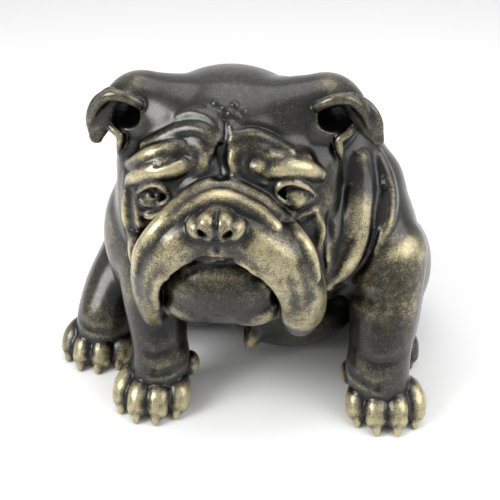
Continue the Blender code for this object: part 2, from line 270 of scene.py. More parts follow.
LIMBS = [
    [(-110, -2, 150, 42), (-107, -30, 104, 34), (-102, -48, 66, 29), (-100, -54, 44, 30),
     (-105, -60, 20, 27)],
    [(121, -2, 150, 44), (123, -30, 104, 36), (121, -46, 66, 32), (120, -52, 44, 33),
     (127, -60, 20, 28)],
    [(-140, 66, 92, 44), (-160, 38, 66, 38), (-172, 14, 42, 32), (-179, 12, 20, 26)],
    [(132, 70, 72, 42), (134, 40, 50, 34), (130, 14, 36, 31), (128, 2, 20, 26)],
    [(-150, 112, 26, 26), (-162, 50, 24, 25), (-172, 18, 22, 24)],
    [(146, 122, 26, 26), (136, 60, 24, 24), (129, 12, 22, 24)],
    [(28, 226, 92, 24), (30, 243, 78, 18), (25, 248, 60, 13)],
    [(4, 18, 52, 14), (-8, 0, 42, 12), (-14, -6, 33, 9)],
]
body = melt([ball(*row) for row in BODY], BODY_GRAIN, BODY_PASSES)
trunk = melt([body] + [limb(row) for row in LIMBS], TRUNK_GRAIN, TRUNK_PASSES)
print("trunk", len(trunk[0]), "points")

# %% [markdown]
# The head hangs low in front of the chest. Its numbers are about its own middle, where most
# balls come in pairs that are easy to compare. Those at the top corners are the ears' domes.

# %% Skull
SKULL_PASSES = 24
SKULL = [
    ((0, 24, 262), (84, 78, 66)),
    ((0, -14, 238), (92, 48, 58)),
    ((0, -56, 200), (60, 40, 50)),
    ((0, -36, 148), (60, 48, 36)),
    ((44, 14, 274), (52, 46, 50)),
    ((-44, 14, 274), (52, 46, 50)),
    ((90, 18, 294), (38, 34, 36)),
    ((-84, 18, 290), (38, 34, 36)),
    ((108, 10, 296), (20, 22, 26), (0, 20, 0)),
    ((-102, 10, 290), (20, 22, 26), (0, -20, 0)),
    ((66, 16, 286), (40, 38, 40)),
    ((-62, 16, 284), (40, 38, 40)),
    ((84, 6, 240), (26, 36, 40)),
    ((-84, 4, 236), (26, 36, 40)),
    ((46, -26, 248), (42, 34, 38)),
    ((-46, -26, 248), (42, 34, 38)),
    ((70, 2, 198), (43, 55, 72)),
    ((-70, 2, 198), (43, 55, 72)),
]
skull = melt([on_face(ball(*row)) for row in SKULL], COARSE_GRAIN, SKULL_PASSES)
print("skull", len(skull[0]), "points")

# %% [markdown]
# The muzzle is a bridge over the nose with a heavy flew hanging on each side. It is made
# apart, because the mouth is an arch that has to be cut out of the flews before they join the
# face. A Boolean does that cut, because melting can only add.

# %% Muzzle
MUZZLE_GRAIN, MUZZLE_PASSES = 2.4, 8
BASE_PASSES = 3
MUZZLE = [
    ((0, -78, 216), (52, 32, 30)),
    ((4, -62, 185), (75, 34, 40)),
    ((1, -97, 212), (24, 17, 14)),
]
FLEWS = [
    [(12, -93, 223, 20), (36, -92, 209, 27), (57, -86, 186, 31), (70, -79, 156, 29),
     (75, -74, 130, 25), (75, -70, 114, 18)],
    [(-12, -93, 223, 20), (-35, -92, 209, 26), (-53, -87, 186, 28), (-62, -81, 158, 24),
     (-65, -76, 132, 19), (-66, -72, 113, 14)],
]
MOUTH_HALF, MOUTH_Z, MOUTH_RISE, MOUTH_FOOT = 57, 144, 59, 60
MOUTH_FRONT, MOUTH_BACK = -200, -52


def mouth_arch():
    """Half an ellipse over two straight sides, pushed straight back into the face."""
    angle = np.linspace(0, math.pi, 24)
    x = np.concatenate([MOUTH_HALF * np.cos(angle), [-MOUTH_HALF, MOUTH_HALF]])
    z = np.concatenate([MOUTH_Z + MOUTH_RISE * np.sin(angle), [MOUTH_FOOT, MOUTH_FOOT]])
    count = len(x)
    front = np.column_stack([x, np.full(count, float(MOUTH_FRONT)), z])
    points = np.vstack([front, front + [0, MOUTH_BACK - MOUTH_FRONT, 0]])
    sides = [[k, count + k, count + (k + 1) % count, (k + 1) % count] for k in range(count)]
    ends = [list(range(count)), list(range(count, 2 * count))[::-1]]
    return points, sides + ends


muzzle_forms = [on_face(ball(*row)) for row in MUZZLE] + [on_face(limb(row)) for row in FLEWS]
muzzle = cut(melt(muzzle_forms, MUZZLE_GRAIN, MUZZLE_PASSES), [on_face(mouth_arch())])
base = melt([trunk, skull, muzzle], COARSE_GRAIN, BASE_PASSES)
print("base", len(base[0]), "points")

# %% [markdown]
# The folds lie on a surface that no formula gives, so they are drawn on a board that leans
# back with the face, across by x and up by h. Each point is pushed straight into the clay
# until it meets the surface, and a roll of clay is laid along the points. A second board
# stands upright in front of the legs.

# %% The drawing boards
FACE_LEAN = 32
BOARD_REACH, MISS_SHARE = 400, 0.92


def board(middle_x, lean):
    """The board's origin, its directions across and up, and the direction into it."""
    lean = math.radians(lean)
    up = np.array([0, math.sin(lean), math.cos(lean)])
    into = np.array([0, math.cos(lean), -math.sin(lean)])
    return np.array([middle_x, 0, 0]), np.array([1.0, 0, 0]), up, into


def tree_of(form):
    """The form sorted for quick ray casts."""
    return BVHTree.FromPolygons(form[0].tolist(), form[1].tolist())


FACE_BOARD, LEG_BOARD = board(FACE_X, FACE_LEAN), board(0, 0)
base_tree = tree_of(base)


def on_surface(x, h, sink=0.0, tree=base_tree, drawn_on=FACE_BOARD):
    """Where the point (x, h) of a board meets the clay, or, where it misses, the clay nearest to it."""
    origin, across, up, into = drawn_on
    start = origin + across * x + up * h - into * BOARD_REACH
    hit = tree.ray_cast(Vector(start), Vector(into))[0]
    if hit is None:
        hit = tree.find_nearest(Vector(start + into * MISS_SHARE * BOARD_REACH))[0]
    return np.array(hit) + into * sink


def fold(proud, line):
    """A roll that stands out of the surface by the proud share of its radius."""
    return limb([(*on_surface(x, h, (1 - proud) * radius), radius) for x, h, radius in line])


print("the board's middle meets the brow at", on_surface(0, 200).round(1))

# %% [markdown]
# The roll over the nose, the wrinkles that hook down on each side of the pit between the
# brows, the brows themselves, and the folds that hang from cheek and neck. Each is how proud
# it stands and a line of (x, h, radius). The two sides differ, as they do on the real dog, so
# neither is a mirror of the other.

# %% Folds of the face
NOSE_ROLL = [
    (0.62, [(-75, 97, 4), (-72, 110, 7), (-66, 122, 9), (-51, 139, 11), (-30, 159, 14),
            (-2, 174, 17), (31, 164, 14), (54, 150, 11.5), (74, 132, 9), (83, 118, 7.5),
            (90, 101, 4)]),
    (0.6, [(-46, 141, 8), (-24, 155, 12), (0, 163.5, 15.5), (28, 157, 12.5), (50, 144, 8)]),
]
RIGHT_BROW = [
    (0.65, [(-91, 183, 6), (-77, 188, 9.5), (-57, 193, 10.5), (-41, 196, 10), (-30, 197, 7)]),
    (0.55, [(-90, 199, 6), (-70, 205, 8.5), (-52, 211, 8.5), (-40, 214, 8), (-30, 211, 7),
            (-25, 203, 6.5), (-28, 194, 6)]),
    (0.5, [(-29, 220, 5), (-21, 216, 7), (-16, 207, 7.5), (-18, 197, 7.5), (-24, 188, 7),
           (-32, 180, 6), (-41, 173, 4)]),
    (0.5, [(-75, 215, 5), (-54, 223, 8), (-38, 229, 9), (-24, 230, 9), (-13, 226, 9),
           (-6, 219, 8.5), (-9, 211, 7)]),
    (0.45, [(-43, 241, 5), (-33, 244, 7), (-21, 243, 7.5), (-10, 238, 7), (-4, 230, 6),
            (-1, 221, 4)]),
]
LEFT_BROW = [
    (0.5, [(6, 233, 6), (7, 229, 6)]),
    (0.5, [(5, 214, 6.5), (8, 221, 9), (17, 226, 9), (29, 226, 8), (44, 221, 7), (61, 213, 5)]),
    (0.5, [(44, 212, 5), (27, 217, 7.5), (15, 215, 8), (8, 207, 8), (9, 198, 7.5), (13, 189, 7),
           (23, 182, 6), (34, 177, 5), (43, 173, 4)]),
    (0.5, [(75, 208, 6), (50, 207, 7.5), (38, 209, 7), (27, 212, 6), (20, 208, 6), (18, 202, 6),
           (21, 194, 6), (28, 189, 6), (38, 186, 5)]),
    (0.6, [(32, 199, 9), (36, 198, 9)]),
    (0.65, [(41, 194, 7), (52, 197, 9.5), (63, 199, 10.5), (75, 199, 10), (87, 196, 7)]),
]
print(len(NOSE_ROLL), "rolls over the nose,", len(RIGHT_BROW), "and", len(LEFT_BROW), "brow folds")

# %% Folds of the neck, and pebbles
LEFT_NECK = [
    (0.4, [(84, 163, 5), (90, 147, 8), (93, 129, 8), (96, 113, 7), (99, 98, 5)]),
    (0.4, [(122, 214, 14), (124, 190, 20), (124, 165, 22), (120, 140, 21), (112, 118, 17),
           (100, 97, 10)]),
    (0.3, [(142, 220, 8), (149, 200, 11), (152, 178, 12), (150, 152, 11), (143, 128, 7)]),
]
RIGHT_NECK = [
    (0.35, [(-84, 193, 4), (-81, 168, 6), (-79, 146, 7), (-78, 126, 6), (-76, 107, 4)]),
    (0.35, [(-92, 190, 6), (-93, 168, 8), (-92, 150, 8.5), (-87, 134, 8), (-80, 117, 6),
            (-76, 104, 4)]),
]
# Small grains of clay above the pit, each (x, h, radius), sunk by a share of its radius.
PEBBLES = [
    (-16, 250, 3.2), (-9, 255, 3.6), (-1, 251, 3.4), (8, 254, 3.8), (16, 249, 3.0),
    (-5, 245, 3.0), (5, 246, 3.2), (12, 243, 2.8), (0, 238, 2.8), (-11, 247, 2.6),
]
PEBBLE_SINK = 0.45
folds = [fold(*row) for row in NOSE_ROLL + RIGHT_BROW + LEFT_BROW + LEFT_NECK + RIGHT_NECK]
pebbles = [ball(on_surface(x, h, PEBBLE_SINK * radius), (radius,) * 3) for x, h, radius in PEBBLES]
print(len(folds), "folds and", len(pebbles), "pebbles")

# %% [markdown]
# An eye is a socket pressed into the face, a ball set back in it, and two thin lids and a bag
# laid round the opening. A lid could be cut out of the ball, but a roll of clay catches the
# light along its edge as the cast one does.

# %% Eyes
EYES = [(65, 177, -6), (-66, 170, 4)]
EYE_RADIUS, EYE_DEPTH = 15, 16
SOCKET_RADII = (18, 9, 9.5)
PUPILS = [(61, 178), (-65, 171)]
PUPIL_RADII = (4.5, 4, 4.5)
LIDS = [
    (1.3, [(-84, 169, 1.5), (-77, 175, 3), (-68, 179, 3.5), (-58, 179, 3.5), (-49, 171, 2)]),
    (1.3, [(-82, 167, 1.5), (-74, 162, 2.8), (-63, 161, 3), (-53, 164, 2.6), (-48, 169, 1.5)]),
    (0.8, [(-83, 158, 2), (-70, 151, 5), (-54, 154, 3)]),
    (1.3, [(48, 176, 1.5), (53, 183, 3), (62, 186.5, 3.5), (73, 184.5, 3.5), (85, 177, 1.5)]),
    (1.3, [(49, 175, 1.5), (54, 170, 2.8), (64, 167.5, 3), (75, 169, 2.8), (84, 175, 1.5)]),
    (0.8, [(54, 160, 2), (66, 157, 5), (83, 163, 3)]),
]
eyes = [ball(on_surface(x, h, EYE_DEPTH), (EYE_RADIUS,) * 3) for x, h, turn in EYES]
lids = [fold(*row) for row in LIDS]
print(len(eyes), "eyes,", len(lids), "lids and bags")

# %% [markdown]
# The nose is a pad with two lobes on top, a wing over each nostril and two small balls under
# them. The chin is a large ball with lobes along its lower edge. Both are melted alone and
# then go in with the rest, so that a line stays where they meet the face.

# %% Nose and chin
NOSE_PASSES, CHIN_PASSES = 7, 24
NOSE = [
    ((0, -104, 237), (18, 18, 14)),
    ((7.5, -113, 242), (9, 11, 9.5)),
    ((-7.5, -113, 242), (9, 11, 9.5)),
    ((17.5, -108, 234), (9, 13, 10.5), (0, 20, -10)),
    ((-17.5, -108, 234), (9, 13, 10.5), (0, -20, 10)),
    ((6, -112, 231), (6, 9, 8)),
    ((-6, -112, 231), (6, 9, 8)),
]
NOSTRILS = [
    ((13, -126, 234), (4, 13, 6.5), (0, 30, 15)),
    ((-13, -126, 234), (4, 13, 6.5), (0, -30, -15)),
]
CHIN = [
    ((0, -68, 155), (58.5, 43, 43)),
    ((-26, -76, 136), (29, 28, 20)),
    ((27, -76, 135), (31, 28, 20)),
    ((-46, -70, 131), (15, 22, 17)),
    ((47, -70, 133), (15, 22, 17)),
]
nose = melt([on_face(ball(*row)) for row in NOSE], FINE_GRAIN, NOSE_PASSES)
chin = melt([on_face(ball(*row)) for row in CHIN], FINE_GRAIN, CHIN_PASSES)
print("nose", len(nose[0]), "points, chin", len(chin[0]), "points")

# %% [markdown]
# The dome of each ear is part of the skull. Here it gets the hood's rim, the fold below the
# ear's hole and a flat flap that hangs to a blunt tip. All are drawn for one side. EARS gives
# for each ear its side, how far it is moved across and up, and how far its flap swings about
# the top of the ear.

# %% Ears
EAR_TOP = np.array([112, 0, 312])
EAR_RIM = [(74, -8, 298, 4), (82, -15, 309, 5), (95, -18, 316, 5.5), (108, -16, 315, 5.5),
           (119, -12, 304, 5), (127, -10, 288, 4)]
EAR_FLAP = [(108, 0, 309, 10), (116, -6, 299, 13), (121, -7, 284, 13), (125, -5, 268, 7)]
EAR_FLATNESS = 0.45
EAR_FOLD = [(114, -2, 288, 3), (108, -10, 280, 4), (100, -14, 274, 4), (101, -14, 264, 3.5),
            (103, -11, 254, 2)]
EARS = [(1, 4, 4, -14), (-1, -1, 0, 0)]
EAR_HOLE, EAR_HOLE_RADII = np.array([98, -22, 296]), (19, 30, 17)


def ear(side, across, up, swing):
    """Flap, rim and fold; the flap is a limb squeezed flat from front to back and swung."""
    flap, flap_faces = limb(EAR_FLAP)
    middle = EAR_FLAP[len(EAR_FLAP) // 2][1]
    flap[:, 1] = middle + (flap[:, 1] - middle) * EAR_FLATNESS
    flap = (flap - EAR_TOP) @ turned((0, swing, 0)).T + EAR_TOP
    forms = [(flap, flap_faces), limb(EAR_RIM), limb(EAR_FOLD)]
    return [moved(form if side > 0 else mirrored(form), (FACE_X + across, 0, up)) for form in forms]


ears = [form for row in EARS for form in ear(*row)]
print(len(ears), "forms for the ears")

# %% [markdown]
# Each paw has four toes that swell from the wrist, the outer two set back, and each toe has
# a short blunt claw. A toe is drawn once, as shares of its distance across the paw, so that
# the outer toes spread. PAWS gives for each paw its place, its turn and its size.

# %% Paws
PAWS = [(-107, -68, -4, 1.0), (129, -64, 3, 1.0), (-178, 8, -10, 1.0), (130, 28, 4, 0.92)]
TOES = [(-27, 12), (-9.5, 0), (9.5, 0), (27, 12)]
TOE = [(0.62, 8, 20, 11), (0.86, -5, 24, 13), (1.0, -17, 20, 13.5), (1.03, -25, 12, 12.5)]
CLAW = [(1.04, -29, 14, 5.5), (1.05, -35, 8, 5), (1.06, -38, 3.5, 3.5)]
DEWCLAWS = [((-72, -44, 32), (10, 12, 14)), ((92, -42, 30), (10, 12, 14))]


def paw(x, y, turn, size):
    """Eight limbs, a toe and a claw for each place in TOES, turned about the paw's own middle."""
    forms = []
    for across, back in TOES:
        for knots in (TOE, CLAW):
            line = np.array([(share * across, behind + back, up, radius)
                             for share, behind, up, radius in knots])
            line *= size
            line[:, :3] = line[:, :3] @ turned((0, 0, turn)).T + [x, y, 0]
            forms.append(limb(line))
    return forms


paws = [form for row in PAWS for form in paw(*row)] + [ball(*row) for row in DEWCLAWS]
print(len(paws), "forms for toes, claws and dewclaws")

# %% [markdown]
# A press is a ball pushed into soft clay. Every point inside the ball moves along the push
# until it lies on the ball's far side, so it opens nostrils and ear holes with no cutting.
# A cut would leave new edges to smooth, while a press keeps the mesh as it is.

# %% Presses
def press(points, centre, radii, turn, push):
    """Solves |u + s d| = 1 for the distance s, in the space where the ball has radius 1."""
    spin = turned(turn)
    u = ((points - centre) @ spin) / radii
    push = np.asarray(push, float) / np.linalg.norm(push)
    d = (push @ spin) / radii
    inside = (u * u).sum(1) < 1
    b = u[inside] @ d
    reach = (np.sqrt(b * b + (d @ d) * (1 - (u[inside] ** 2).sum(1))) - b) / (d @ d)
    result = points.copy()
    result[inside] += reach[:, None] * push
    return result


# %% The face with its sockets and ear holes
FOLD_PASSES = 5
EAR_PUSH = (-0.35, 1, -0.3)
face, face_faces = melt([base] + folds, FINE_GRAIN, FOLD_PASSES)
smooth_face = face
for x, h, turn in EYES:
    face = press(face, on_surface(x, h), SOCKET_RADII, (-FACE_LEAN, turn, 0), FACE_BOARD[3])
for side, across, up, swing in EARS:
    centre = EAR_HOLE * [side, 1, 1] + [FACE_X + across, 0, up]
    face = press(face, centre, EAR_HOLE_RADII, (0, 0, 0), np.array(EAR_PUSH) * [side, 1, 1])
print("pressed", int((face != smooth_face).any(1).sum()), "of", len(face), "points")

# %% [markdown]
# Now all the forms melt into one dog, at half the coarse grain and with little smoothing. Eyes,
# lids, nose and claws go in only here, so that they stay crisp.

# %% The whole dog
LAST_PASSES = 2
dog = melt([(face, face_faces)] + pebbles + eyes + lids + [nose, chin] + ears + paws, FINE_GRAIN, LAST_PASSES)
print("dog", len(dog[0]), "points")

# %% [markdown]
# A stroke is drawn on a board like a fold, but it moves the finished surface along its own
# normals. The move is greatest on the line and fades to nothing at the stroke's half width,
# with a sharp bottom for a crease and a round top for a ridge, and it thins out at both ends.
# A roll of clay could not be as shallow or as sharp as these lines are.

# %% Strokes
STROKE_STEPS, TAPER_SHARE, BLUNT_END = 12, 0.18, 0.15
CREASE_SHARPNESS = 1.6
FACING_AWAY = 0.1


def outward(points, faces):
    """Each point's normal is the mean of its faces' normals, weighted by their area."""
    corner = points[faces]
    if faces.shape[1] == 3:
        normal = np.cross(corner[:, 1] - corner[:, 0], corner[:, 2] - corner[:, 0])
    else:
        normal = np.cross(corner[:, 2] - corner[:, 0], corner[:, 3] - corner[:, 1])
    total = np.zeros_like(points)
    for k in range(faces.shape[1]):
        for axis in range(3):
            total[:, axis] += np.bincount(faces[:, k], normal[:, axis], len(points))
    return total / np.maximum(np.linalg.norm(total, axis=1, keepdims=True), 1e-9)


def stroke(points, normals, tree, height, half_width, line, drawn_on):
    """The move for every point: height times a profile of its gap to the line, times the taper."""
    into = drawn_on[3]
    path = smooth_path([on_surface(x, h, 0, tree, drawn_on) for x, h in line], STROKE_STEPS)
    low, high = path.min(0) - half_width, path.max(0) + half_width
    in_box = ((points > low) & (points < high)).all(1)
    near = np.flatnonzero(in_box & (normals @ into < FACING_AWAY))
    gap = np.linalg.norm(points[near, None] - path[None], axis=2)
    nearest = gap.argmin(1)
    share = np.clip(1 - gap[np.arange(len(near)), nearest] / half_width, 0, 1)
    along = nearest / (len(path) - 1)
    taper = np.clip(np.minimum(along, 1 - along) / TAPER_SHARE + BLUNT_END, 0, 1)
    profile = share**CREASE_SHARPNESS if height < 0 else share**2 * (3 - 2 * share)
    moves = np.zeros_like(points)
    moves[near] = (height * profile * taper)[:, None] * normals[near]
    return moves


def carved(form, strokes, drawn_on):
    """The form with all the strokes' moves added at once."""
    points, faces = form
    tree, normals = tree_of(form), outward(points, faces)
    return points + sum(stroke(points, normals, tree, *row, drawn_on) for row in strokes), faces


# %% [markdown]
# Each stroke is a height, a half width and a line. Most are creases, with a negative height:
# the furrow and the pit between the brows, the split under the nose, the lines that part the
# neck folds, the grooves under the eyes, and faint wrinkles on the flews. One is a ridge, the
# lip round the mouth. Those on the legs are the wrinkles over the wrists.

# %% Carving
FACE_STROKES = [
    (-2, 8, [(0, 243), (1, 228), (1, 212)]),
    (-7, 13, [(-2, 220), (-3, 208), (-2, 198), (-1, 184)]),
    (-2.5, 5, [(11, 230), (22, 236), (38, 234), (52, 229)]),
    (-3.5, 5, [(1, 134), (1, 122), (0, 110)]),
    (-3, 4, [(1, 159), (1, 150), (1, 142), (1, 132)]),
    (-4, 9, [(142, 214), (145, 191), (143, 166), (142, 141), (134, 117), (118, 100), (103, 90)]),
    (-4, 8, [(98, 164), (99, 144), (96, 130), (95, 117), (99, 100)]),
    (-2.5, 8, [(120, 140), (113, 122), (104, 100)]),
    (-3, 9, [(151, 198), (152, 171), (149, 145)]),
    (-3, 14, [(104, 80), (125, 84), (150, 78)]),
    (-2.5, 7, [(-92, 204), (-100, 170), (-98, 140), (-88, 118), (-80, 104)]),
    (-2.5, 6, [(-64, 194), (-50, 199), (-38, 205)]),
    (-2, 9, [(0, 70), (0, 62), (0, 52)]),
    (2, 7, [(-56, 52), (-58, 75), (-50, 93), (-30, 105), (0, 114), (29, 108), (43, 91), (51, 73),
            (52, 48)]),
    (-2, 5, [(-80, 152), (-72, 146), (-60, 148), (-50, 156)]),
    (-2, 5, [(52, 158), (64, 151), (78, 155), (86, 166)]),
    (-0.8, 9, [(72, 118), (80, 96), (84, 76)]),
    (-0.6, 8, [(64, 104), (70, 86), (72, 66)]),
    (-0.8, 8, [(-66, 112), (-73, 94), (-73, 72)]),
]
LEG_STROKES = [
    (-2, 9, [(-134, 74), (-108, 68), (-76, 72)]),
    (-3, 8, [(-134, 54), (-104, 47), (-72, 51)]),
    (-2, 9, [(92, 78), (118, 70), (150, 76)]),
    (-3, 8, [(90, 52), (120, 45), (152, 52)]),
    (-2, 8, [(-200, 52), (-182, 46), (-160, 44)]),
]
points, faces = carved(carved(dog, FACE_STROKES, FACE_BOARD), LEG_STROKES, LEG_BOARD)
print(len(FACE_STROKES), "strokes on the face,", len(LEG_STROKES), "on the legs")

# %% [markdown]
# Pupils and nostrils are pressed last, so that no melting rounds them again. The points below
# the floor are lifted onto it, which flattens the soles. Decimate then thins the skin where it
# is even, which a plain coarser grain would not.

# %% Pupils, nostrils and soles
NOSTRIL_PUSH = (0, 1, 0.1)
SOFTENING = 0.3
for x, h in PUPILS:
    centre = on_surface(x, h, EYE_DEPTH - EYE_RADIUS)
    points = press(points, centre, PUPIL_RADII, (-FACE_LEAN, 0, 0), FACE_BOARD[3])
for centre, radii, turn in NOSTRILS:
    points = press(points, np.array(centre) + [FACE_X, 0, 0], radii, turn, NOSTRIL_PUSH)
points[:, 2] = np.maximum(points[:, 2], 0)
points, faces = worked((points, faces), [
    ("SMOOTH", {"iterations": 1, "factor": SOFTENING}),
    ("DECIMATE", {"ratio": MOST_TRIANGLES / (2 * len(faces))}),
    ("TRIANGULATE", {}),
])
points[:, 2] = np.maximum(points[:, 2], 0)
low, high = points.min(0), points.max(0)
print("clay box", low.round(1), high.round(1), "middle", ((low + high) / 2).round(2), len(faces), "triangles")

# %% [markdown]
# The patina follows the form: black stays in the creases, and a cloth rubs the paint through
# to gold wherever the surface stands proud. Pointiness in a material sees only how sharply
# the mesh bends at a point. What counts here is how far a point lies above the same surface
# after blurring, so that is worked out and kept as attributes: fine after a short blur,
# broad after a long one.

# %% Height above the blurred surface
FINE_BLUR, BROAD_BLUR = 6, 60


def edges_of(faces):
    """Each edge once, as its two points."""
    loops = np.vstack([faces[:, [k, (k + 1) % faces.shape[1]]] for k in range(faces.shape[1])])
    return np.unique(np.sort(loops, 1), axis=0)


def blurred(values, edges, passes):
    """Each value goes halfway to the mean of its neighbours, passes times."""
    values = np.array(values, float)
    shape = values.shape
    values = values.reshape(len(values), -1)
    a, b = edges.T
    degree = np.bincount(edges.ravel(), minlength=len(values))[:, None]
    for _ in range(passes):
        total = [np.bincount(a, column[b], len(values)) + np.bincount(b, column[a], len(values))
                 for column in values.T]
        values = 0.5 * values + 0.5 * np.stack(total, 1) / degree
    return values.reshape(shape)


edges = edges_of(faces)
normals = outward(points, faces)
fine, broad = (((points - blurred(points, edges, passes)) * normals).sum(1)
               for passes in (FINE_BLUR, BROAD_BLUR))
SPREAD = [2, 25, 50, 75, 98]
print("fine", np.percentile(fine, SPREAD).round(3), "broad", np.percentile(broad, SPREAD).round(3))

# %% [markdown]
# Light from above is painted into the finish: what sees much sky is painted lighter and takes
# more gold, and what hangs or hides is left in painted shade. From every point some rays go up
# to a dome of directions, and the share that gets away is how much sky it sees.

# %% How much sky a point sees
SKY_RINGS = ((8, 1), (35, 6), (62, 8), (85, 8))
SKY_REACH, OFF_SURFACE, GRAZING = 140.0, 1.2, 0.02


def sky_share(points, normals, tree):
    """The facing of the rays that get away, added up, over that of all the rays."""
    seen, weight = np.zeros(len(points)), np.zeros(len(points))
    starts = points + normals * OFF_SURFACE
    for tilt, count in SKY_RINGS:
        tilt = math.radians(tilt)
        for turn in np.arange(count) * 2 * math.pi / count + tilt:
            away = np.array([math.sin(tilt) * math.cos(turn), math.sin(tilt) * math.sin(turn),
                             math.cos(tilt)])
            facing = np.maximum(normals @ away, 0)
            direction = Vector(away)
            for k in np.flatnonzero(facing > GRAZING):
                if tree.ray_cast(starts[k], direction, SKY_REACH)[0] is None:
                    seen[k] += facing[k]
            weight += abs(normals @ away)
    return seen / weight


# Painted light and shade: this share lightens and gilds what sees the sky, and leaves dark what hangs or
# hides.
painted_sky_light = sky_share(points, normals, tree_of((points, faces)))
print("painted_sky_light", np.percentile(painted_sky_light, SPREAD).round(2))

# %% [markdown]
# The cloth didn't go everywhere alike. On the real dog the gold sits on face and paws, hardly
# on the crown, and little on the nose pad. The chin is painted in shade, as it lies under the
# flews, so it is rubbed less and takes less gold. A zone for each is a product of fades, and of
# a plateau for the two small ones. A fade is the two places between which it comes in, in the
# clay's millimetres.

# %% The zones of the finish
FACE_FRONT, FACE_FOOT, FACE_TOP = (0, -45), (100, 125), (312, 270)
PAW_TOP, PAW_FRONT = (60, 25), (20, -40)
CHIN_Z, CHIN_HALVES, CHIN_FRONT, CHIN_LIP = 150, (44, 30), (-60, -75), (-120, -112)
NOSE_Z, NOSE_HALVES, NOSE_FRONT = 236, (26, 18), (-98, -106)
CROWN_FOOT, CROWN_SIDE = (272, 295), (85, 70)


def fade(ends, value):
    """0 at the first end, 1 at the second, and t squared times 3 - 2 t between them."""
    start, full = ends
    t = np.clip((value - start) / (full - start), 0, 1)
    return t * t * (3 - 2 * t)


def plateau(x, z, middle_z, halves):
    """1 round (FACE_X, middle_z), falling off steeply past the half widths: exp(-a^4 - b^4)."""
    return np.exp(-((x - FACE_X) / halves[0]) ** 4 - ((z - middle_z) / halves[1]) ** 4)


x, y, z = points.T
face_zone = fade(FACE_FRONT, y) * fade(FACE_FOOT, z) * fade(FACE_TOP, z)
paw_zone = fade(PAW_TOP, z) * fade(PAW_FRONT, y)
painted_chin_shade = plateau(x, z, CHIN_Z, CHIN_HALVES) * fade(CHIN_FRONT, y) * fade(CHIN_LIP, y)
nose_zone = plateau(x, z, NOSE_Z, NOSE_HALVES) * fade(NOSE_FRONT, y)
crown_zone = fade(CROWN_FOOT, z) * fade(CROWN_SIDE, abs(x - FACE_X))
for name, zone in (("face", face_zone), ("paws", paw_zone), ("chin", painted_chin_shade), ("crown", crown_zone)):
    print(name, "zone holds", round(float(zone.mean()), 3), "of the points")

# %% [markdown]
# Four masks steer the paint: where soot stays, where the cloth rubs, where gold was wanted,
# and how much sky there is, which paints light onto what faces up and shade onto what hangs or
# hides. Fine and broad height each give their share, because a thin fold shows only in the one
# and a whole cheek only in the other.

# %% The four masks
FINE_CREASE, BROAD_CREASE, CREASE_SHARE = (0.02, -0.3), (-0.1, -1.5), 0.6
FINE_RAISED, BROAD_RAISED, FINE_SHARE, BROAD_SHARE = (0.08, 0.42), (0.6, 2.8), 0.55, 0.6
PAINTED_CHIN_SHADE, LESS_ON_NOSE, LESS_ON_CROWN, LEAST_RUBBED = 0.8, 0.55, 0.6, 0.5
PAW_GOLD, COAT_GOLD = 0.8, 0.12
MASK_BLUR = 2
crease = np.clip(fade(FINE_CREASE, fine) * CREASE_SHARE + fade(BROAD_CREASE, broad) * CREASE_SHARE, 0, 1)
raised = np.clip(fade(FINE_RAISED, fine) * FINE_SHARE + fade(BROAD_RAISED, broad) * BROAD_SHARE, 0, 1)
# Painted shade under the flews: the chin is rubbed less and takes less gold.
raised *= 1 - PAINTED_CHIN_SHADE * painted_chin_shade - LESS_ON_NOSE * nose_zone - LESS_ON_CROWN * crown_zone
raised *= np.clip(LEAST_RUBBED + face_zone + paw_zone, 0, 1)
gold_zone = np.clip(face_zone + paw_zone * PAW_GOLD + COAT_GOLD - painted_chin_shade, 0, 1)
masks = {"crease": crease, "raised": raised, "gold_zone": gold_zone, "painted_sky_light": painted_sky_light}
masks = {name: blurred(values, edges, MASK_BLUR) for name, values in masks.items()}
print("mean of each mask", {name: round(float(values.mean()), 3) for name, values in masks.items()})

# %% [markdown]
# The finished skin takes the place of the solid, with each mask as an attribute of its points,
# because an attribute follows the surface wherever it bends and stays with the mesh.

# %% The skin
skin_mesh = mesh_of("bulldog_skin", ((points - MIDDLE) * MM, faces))
for name, values in masks.items():
    layer = skin_mesh.attributes.new(name, "FLOAT", "POINT")
    layer.data.foreach_set("value", values.astype(np.float32))
skin_mesh.shade_smooth()
skin = in_scene("bulldog_skin", skin_mesh)
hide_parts("bulldog")
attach(skin, "root")
print("skin of", len(skin_mesh.polygons), "triangles")

# %% [markdown]
# A material is a small graph of nodes. One function adds a node, sets it and links it, so
# that the graph reads from top to bottom like a sum.

# %% Colours and one function for nodes
def linear(hex_colour):
    """sRGB hex to linear light."""
    parts = [int(hex_colour[k:k + 2], 16) / 255 for k in (1, 3, 5)]
    return [c / 12.92 if c <= 0.04045 else ((c + 0.055) / 1.055) ** 2.4 for c in parts] + [1.0]


def add_node(material, kind, settings=(), inputs=()):
    """The outputs of a new node. Each input gets a value, or a link from another node's output."""
    made = material.node_tree.nodes.new("ShaderNode" + kind)
    for key, value in dict(settings).items():
        setattr(made, key, value)
    for key, value in dict(inputs).items():
        if isinstance(value, bpy.types.NodeSocket):
            material.node_tree.links.new(value, made.inputs[key])
        else:
            made.inputs[key].default_value = value
    return made.outputs


def new_material(name):
    """An empty material to add nodes to."""
    material = bpy.data.materials.new(name)
    material.use_nodes = True
    material.node_tree.nodes.clear()
    return material


print("#808080 in linear light", round(linear("#808080")[0], 3))
